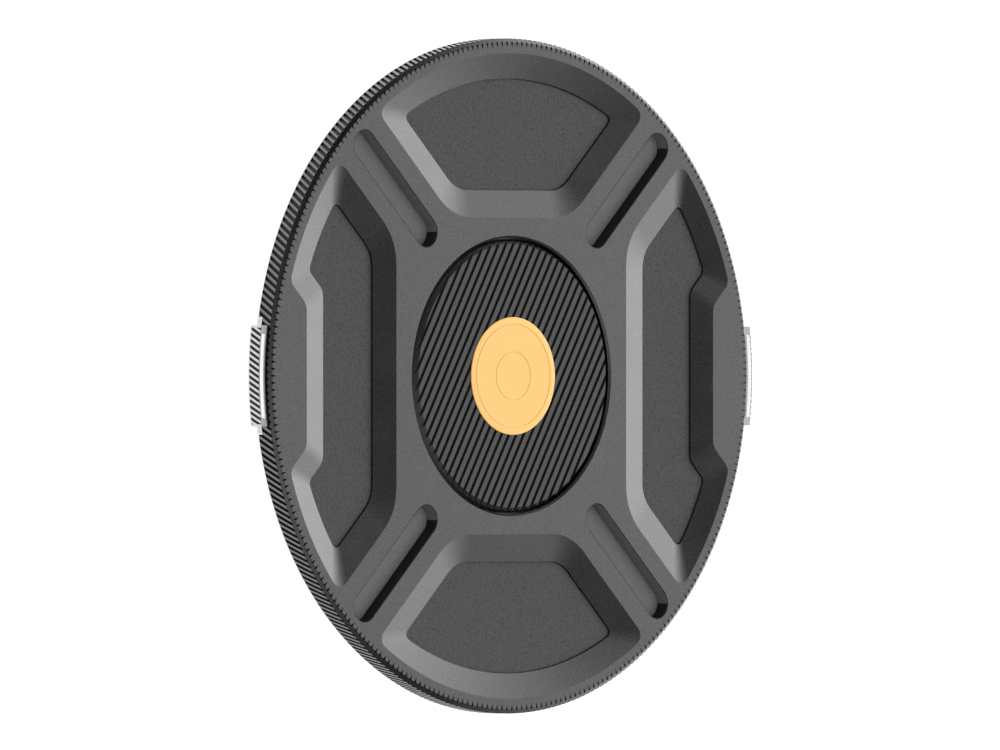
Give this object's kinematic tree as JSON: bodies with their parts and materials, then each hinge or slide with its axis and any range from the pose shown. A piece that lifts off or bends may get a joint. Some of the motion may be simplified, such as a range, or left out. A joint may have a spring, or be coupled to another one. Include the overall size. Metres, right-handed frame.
{
  "type": "lens filter cap",
  "caption": "Round push-on cap for a screw-in lens filter, with a ribbed medallion, bevelled pockets, a knurled rim and sprung release tabs at the sides.",
  "frame": {"origin": "on the cap's axis, in the plane of the housing's back surface, on which the cap lies", "axes": "+Z out of the front face, the normal of the flat face; +X through the right-hand release tab as seen from the front; +Y up as the picture shows the face"},
  "size_m": [0.0928, 0.09, 0.0068],
  "materials": {
    "anodised_shell": "fine bead-blasted dark grey anodised",
    "anodised_disc": "satin dark grey anodised, ribbed",
    "inlay": "fine pebble grain, matt",
    "badge": "satin gold",
    "tabs": "satin silver, knurled at the outer edge",
    "housing": "moulded black, finely textured",
    "catches": "moulded black, smooth",
    "seal": "matt black",
    "screws": "machined steel",
    "springs": "drawn spring wire"
  },
  "bodies": {
    "cap": {"front_shell": "anodised_shell", "inlay_top": "inlay", "inlay_bottom": "inlay", "inlay_left": "inlay", "inlay_right": "inlay", "ribbed_medallion": "anodised_disc", "badge_disc": "badge", "medallion_screw": "screws", "rear_housing": "housing", "seal_ring": "seal", "housing_screws": "screws", "spring_left_upper": "springs", "spring_left_lower": "springs", "spring_right_upper": "springs", "spring_right_lower": "springs"},
    "left_release": {"release_tab_left": "tabs", "catch_left": "catches", "tab_screws_left": "screws"},
    "right_release": {"release_tab_right": "tabs", "catch_right": "catches", "tab_screws_right": "screws"}
  },
  "joints": [
    {"name": "left_tab_press", "type": "slide", "parent": "cap", "child": "left_release", "axis": [1, 0, 0], "range_m": [0, 0.0011], "stiffness_N_per_m": 1200, "springref_m": -0.0015, "deforming": ["spring_left_upper", "spring_left_lower"]},
    {"name": "right_tab_press", "type": "slide", "parent": "cap", "child": "right_release", "axis": [-1, 0, 0], "range_m": [0, 0.0011], "stiffness_N_per_m": 1200, "springref_m": -0.0015, "deforming": ["spring_right_upper", "spring_right_lower"]}
  ]
}
